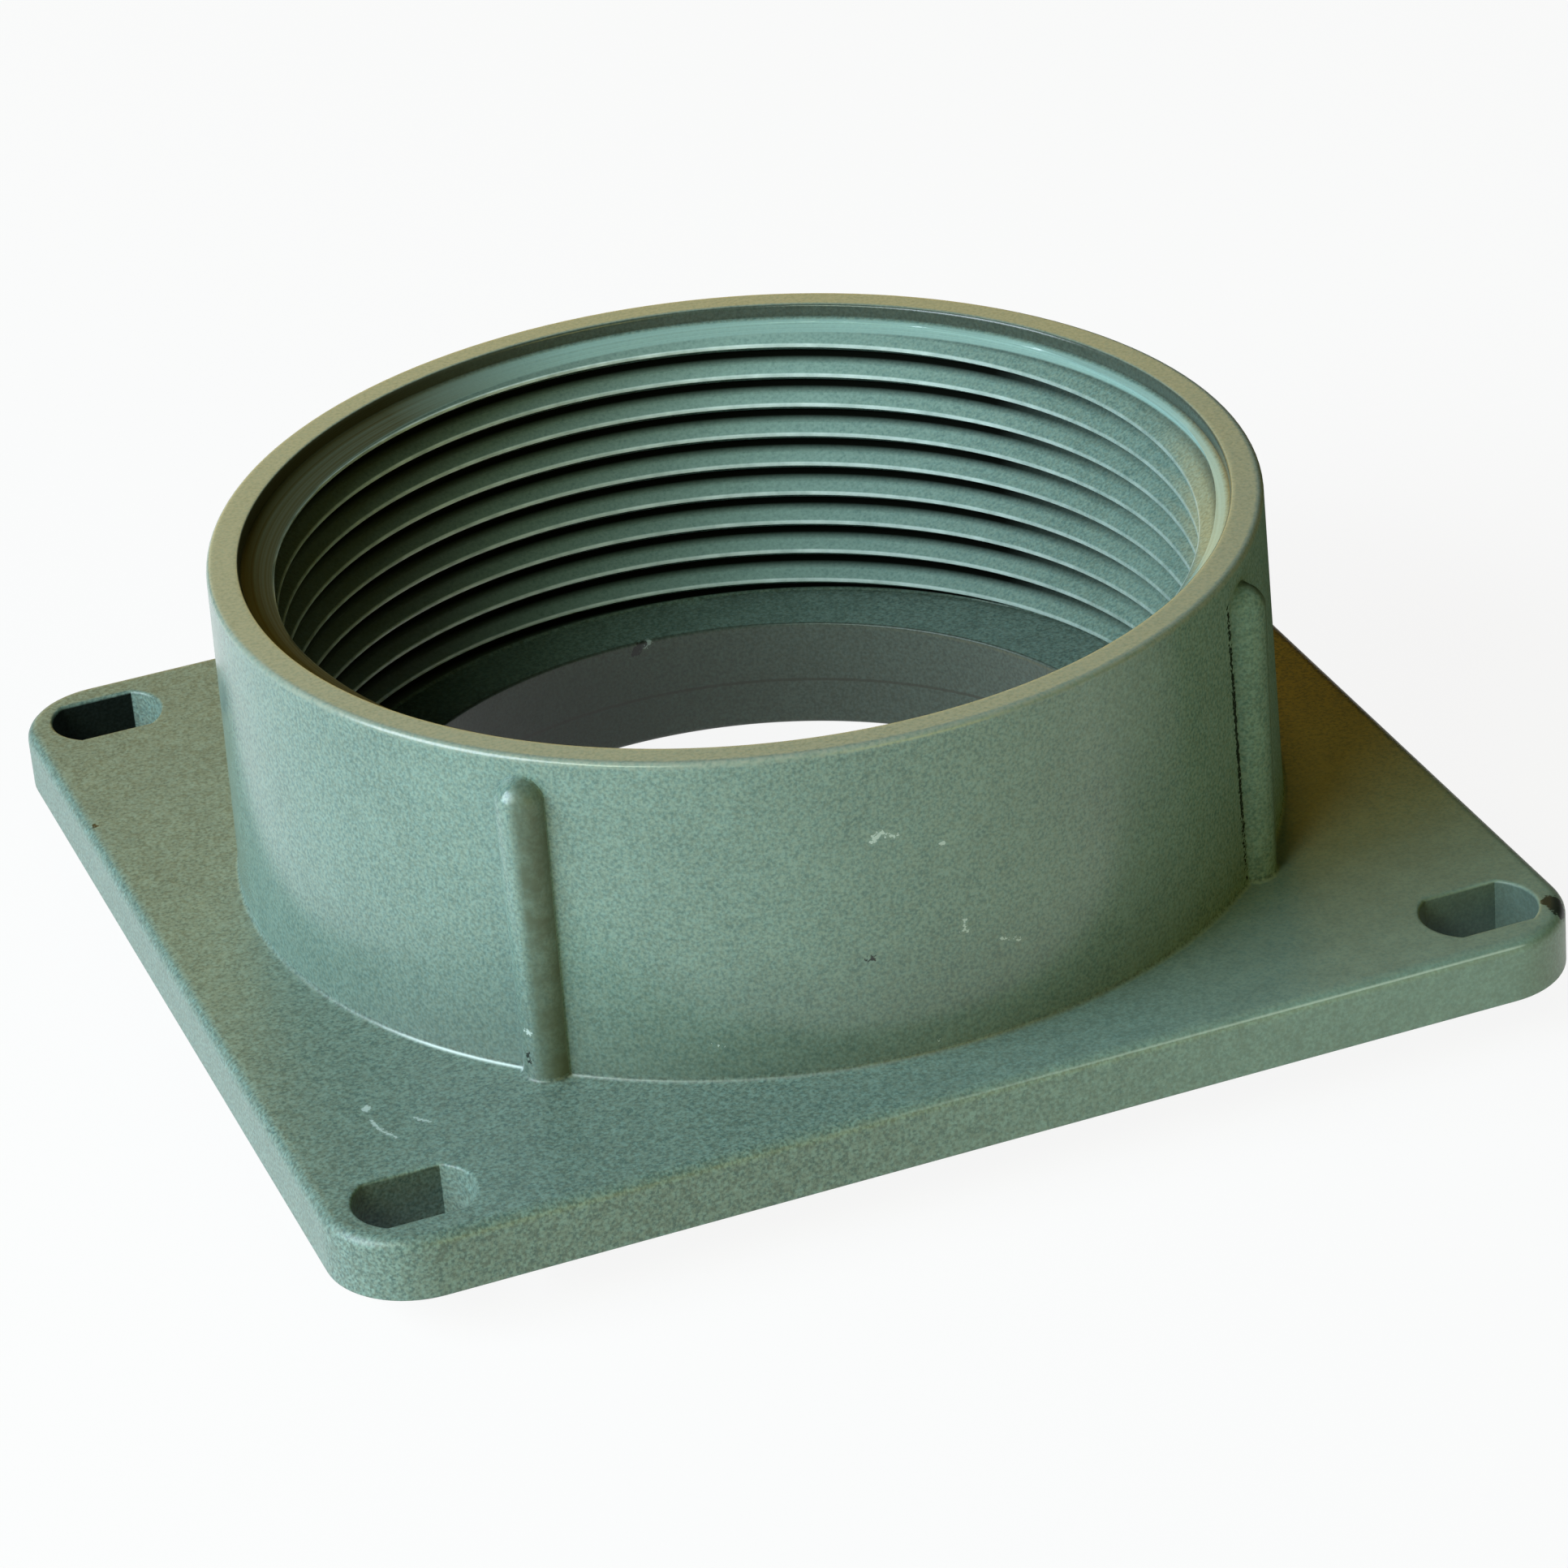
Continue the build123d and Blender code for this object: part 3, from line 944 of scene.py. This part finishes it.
def paint_material(sizes, colours):
    """Satin grey-green paint with turned metal, knocks, specks and a tan film, and with painted shade,
    painted light and painted highlights.
    """
    material = bpy.data.materials.new("Painted Casting")
    tree = fresh_tree(material)
    place = new_node(tree, "ShaderNodeTexCoord").outputs["Object"]
    grain = new_node(tree, "ShaderNodeGroup", {"Position": place}, node_tree=paint_grain_group())
    zones = new_node(tree, "ShaderNodeGroup", {"Position": place}, node_tree=zones_group(sizes))
    blotch, mottle, speckle, tint, turning = (
        Term(tree, grain.outputs[title]) for title in ("Blotch", "Mottle", "Grain", "Tint", "Turning")
    )

    def zone(title):
        return Term(tree, zones.outputs[title])

    def cover(tone, share, tint_name):
        return mix_colour(tree, share, tone, rgba(getattr(colours, tint_name)))

    # the noise that each pattern is cut from, with its middle spread from 0 to 1
    patterns = {"Soft Tint": tint}
    for title, source in (("Grain", speckle), ("Mottle", mottle), ("Tint", tint), ("Turning", turning)):
        patterns[title] = source.part(0.35, 0.3)

    even = blotch.part(0.3, 0.4) * 0.3 + mottle.part(0.3, 0.4) * 0.2 + 0.25
    contrast = zone("Plate") * 0.3 + 0.45
    shade = even * (contrast * -1.0 + 1.0) + speckle.part(0.33, 0.34) * contrast
    tone = cover(rgba(colours.paint_deep), shade, "paint_pale_and_light")
    tone = cover(tone, patterns["Tint"] * 0.25, "dust_and_light")
    # tan film on the plate's top, partly painted light on its back and right
    tone = cover(tone, zone("Dust") * (patterns["Grain"] * 0.4 + 0.1), "dust_and_light")
    # painted shadow of the collar on the plate's back right, in a speckled warm dark tone
    film = cover(rgba(colours.grime_and_shade), patterns["Grain"], "collar_shadow_tone")
    tone = mix_colour(tree, zone("Brown Film") * 0.85, tone, film)
    # painted light on the plate's front right
    tone = cover(tone, zone("Pale Film") * 0.6, "paint_pale_and_light")
    specks = patterns["Mottle"] * 0.5 + tint.part(0.4, 0.3) * 0.5
    tone = cover(tone, zone("Plate") * specks * 0.25, "grime_and_shade")
    for title, tint_name, share, pattern, pattern_share in FINISH_LAYERS:
        mask = zone(title) * share
        if pattern:
            mask = zone(title) * (patterns[pattern] * pattern_share + share)
        tone = cover(tone, mask, tint_name)

    scuff = scuff_group()
    ragged = (speckle - 0.45) * SCUFF_RAGGED
    pale, dark = (
        scuffs(tree, scuff, place, ragged, mark_ends(sizes, *marks)) for marks in (PALE_MARKS, DARK_MARKS)
    )
    tone = cover(tone, pale * 0.5, "bare")
    tone = cover(tone, zone("Plate Glint") * 0.8, "bare")
    # dark knocks and spots, and the painted shade in the crease beside the right-hand bead
    tone = cover(tone, dark * 0.9, "black_shade_and_marks")

    dull = zone("Thread Root").most(zone("Slot Wall")).most(zone("Matt Film"))
    dull = dull.most(zone("Lead-in Soil") * 0.9)
    roughness = mottle * 0.10 + 0.17 + zone("Plate") * 0.2 + dull * 0.3 + zone("Bead Stain") * 0.3
    bumps = {"Strength": BUMP_STRENGTH, "Distance": BUMP_HEIGHT, "Height": grain.outputs["Height"]}
    shader = new_node(tree, "ShaderNodeBsdfPrincipled", {
        "Base Color": tone,
        "Roughness": roughness,
        "Specular IOR Level": dull * -0.5 + 0.5,
        "Normal": new_node(tree, "ShaderNodeBump", bumps).outputs["Normal"],
    })
    new_node(tree, "ShaderNodeOutputMaterial", {"Surface": shader.outputs["BSDF"]})
    return material


def background_mask(tree):
    """1 for rays that should see the white background: camera, glossy and transmission rays."""
    path = new_node(tree, "ShaderNodeLightPath")
    camera, glossy, passing = (
        Term(tree, path.outputs[f"Is {kind} Ray"]) for kind in ("Camera", "Glossy", "Transmission")
    )
    return camera.most(glossy).most(passing)


def floor_material(colours, white_share):
    """Pale matt floor that shows nearly white and keeps the object's shadow."""
    material = bpy.data.materials.new("Pale Floor")
    tree = fresh_tree(material)
    matt = new_node(tree, "ShaderNodeBsdfDiffuse", {"Color": rgba(colours.floor)})
    glow = new_node(tree, "ShaderNodeEmission", {"Color": WHITE})
    share = background_mask(tree) * white_share
    mix = new_node(tree, "ShaderNodeMixShader", {"Fac": share, 1: matt.outputs[0], 2: glow.outputs[0]})
    new_node(tree, "ShaderNodeOutputMaterial", {"Surface": mix.outputs[0]})
    return material


# stage

# floor's half side in metres, how white it shows, and the brightness of the room's even light
FLOOR_HALF = 3.0
FLOOR_WHITE_SHARE = 0.9
WORLD_LEVEL = 0.005

# camera's sensor in millimetres, and the distances in metres between which it sees
SENSOR_WIDTH = 36.0
NEAR_CLIP = 0.01
FAR_CLIP = 20.0

# soft lights: name, azimuth and elevation in degrees, distance and size in metres, and power in watts
SOFTBOXES = (
    ("side_light", -86, 27, 1.10, 0.80, 20.6),
    ("key_light", -50, 33, 1.10, 0.39, 4.0),
    ("front_light", 14, 9, 1.20, 0.69, 3.6),
    ("back_light", 172, 15, 1.10, 0.71, 2.4),
)


def add_floor(colours):
    mesh = bpy.data.meshes.new("studio_floor")
    bm = bmesh.new()
    corners = [(-1, -1), (1, -1), (1, 1), (-1, 1)]
    bm.faces.new([bm.verts.new((x * FLOOR_HALF, y * FLOOR_HALF, node_low.z)) for x, y in corners])
    bm.to_mesh(mesh)
    bm.free()
    mesh.materials.append(floor_material(colours, FLOOR_WHITE_SHARE))
    floor = bpy.data.objects.new("studio_floor", mesh)
    bpy.context.scene.collection.objects.link(floor)


def add_softbox(name, azimuth, elevation, distance, size, power, tint):
    """Square soft light that faces the object. Azimuth 0 is in front, and -90 on the left."""
    data = bpy.data.lights.new(name, "AREA")
    data.shape = "SQUARE"
    data.size = size
    data.energy = power
    data.color = tint
    lamp = bpy.data.objects.new(name, data)
    bpy.context.scene.collection.objects.link(lamp)
    turn, rise = math.radians(azimuth), math.radians(elevation)
    away = Vector((math.sin(turn) * math.cos(rise), -math.cos(turn) * math.cos(rise), math.sin(rise)))
    look = (-away).to_track_quat("-Z", "Y").to_matrix().to_4x4()
    lamp.matrix_world = Matrix.Translation(away * distance + Vector((0, 0, node_high.z / 2))) @ look


def light_world(colours):
    world = bpy.data.worlds.new("Studio")
    bpy.context.scene.world = world
    tree = fresh_tree(world)
    even = {"Color": rgba(colours.room), "Strength": WORLD_LEVEL}
    room = new_node(tree, "ShaderNodeBackground", even)
    white = new_node(tree, "ShaderNodeBackground", {"Color": WHITE})
    seen = new_node(tree, "ShaderNodeLightPath").outputs["Is Camera Ray"]
    mix = new_node(tree, "ShaderNodeMixShader", {"Fac": seen, 1: room.outputs[0], 2: white.outputs[0]})
    new_node(tree, "ShaderNodeOutputWorld", {"Surface": mix.outputs[0]})


def add_camera(view):
    """Camera that faces the casting from its front left corner, rolled and slid as it was held."""
    back = Vector((math.sin(view.azimuth) * math.cos(view.elevation),
                   -math.cos(view.azimuth) * math.cos(view.elevation),
                   math.sin(view.elevation)))
    right = Vector((math.cos(view.azimuth), math.sin(view.azimuth), 0.0))
    up = back.cross(right)
    side = right * math.cos(view.roll) + up * math.sin(view.roll)
    top = up * math.cos(view.roll) - right * math.sin(view.roll)
    data = bpy.data.cameras.new("camera")
    data.sensor_width = SENSOR_WIDTH
    data.lens = view.lens
    data.clip_start = NEAR_CLIP
    data.clip_end = FAR_CLIP
    camera = bpy.data.objects.new("camera", data)
    bpy.context.scene.collection.objects.link(camera)
    turn = Matrix((side, top, back)).transposed().to_4x4()
    place = back * view.distance + side * view.slide + top * view.lift
    camera.matrix_world = Matrix.Translation(place) @ turn
    bpy.context.scene.camera = camera


# operators


class FLANGE_OT_casting(bpy.types.Operator):
    """Makes the painted casting in place of the CAD solid"""

    bl_idname = "flange.casting"
    bl_label = "Casting"

    def execute(self, context):
        sizes = context.scene.flange_sizes
        material = paint_material(sizes, context.scene.flange_colours)
        bm = bmesh.new()
        for skin in (bore_skin(sizes), collar_skin(sizes)):
            grown = skin.grow(material)
            bm.from_mesh(grown)
            bpy.data.meshes.remove(grown)
        add_mouth(bm, sizes)
        add_throat_and_spigot(bm, sizes)
        add_plate(bm, sizes)
        weld_casting(bm, sizes)
        mesh = bpy.data.meshes.new("flange_casting")
        bm.to_mesh(mesh)
        bm.free()
        mesh.materials.clear()
        mesh.materials.append(material)
        casting = bpy.data.objects.new("flange_casting", mesh)
        context.scene.collection.objects.link(casting)
        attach(casting, "root")
        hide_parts(NODE)
        return {"FINISHED"}


class FLANGE_OT_studio(bpy.types.Operator):
    """Lays the floor and sets the soft lights and the camera"""

    bl_idname = "flange.studio"
    bl_label = "Studio"

    def execute(self, context):
        colours = context.scene.flange_colours
        add_floor(colours)
        light_world(colours)
        for name, azimuth, elevation, distance, size, power in SOFTBOXES:
            add_softbox(name, azimuth, elevation, distance, size, power, getattr(colours, name))
        add_camera(context.scene.flange_camera)
        context.scene.view_settings.view_transform = "Standard"
        return {"FINISHED"}


class FLANGE_PT_panel(bpy.types.Panel):
    bl_label = "Threaded Flange"
    bl_idname = "FLANGE_PT_panel"
    bl_space_type = "VIEW_3D"
    bl_region_type = "UI"
    bl_category = "Flange"

    def draw(self, context):
        layout = self.layout
        for operator in OPERATORS:
            layout.operator(operator.bl_idname)
        for title in GROUPS:
            values = getattr(context.scene, title)
            box = layout.box()
            for name in values.__annotations__:
                box.prop(values, name)


OPERATORS = (FLANGE_OT_casting, FLANGE_OT_studio)
GROUPS = {"flange_sizes": FlangeSizes, "flange_colours": FlangeColours, "flange_camera": CameraSettings}
CLASSES = (*GROUPS.values(), *OPERATORS, FLANGE_PT_panel)


def register():
    for item in CLASSES:
        bpy.utils.register_class(item)
    for title, group in GROUPS.items():
        setattr(bpy.types.Scene, title, PointerProperty(type=group))


def unregister():
    for title in GROUPS:
        delattr(bpy.types.Scene, title)
    for item in reversed(CLASSES):
        bpy.utils.unregister_class(item)


def main():
    register()
    bpy.ops.flange.casting()
    bpy.ops.flange.studio()


if __name__ == "__main__":
    main()
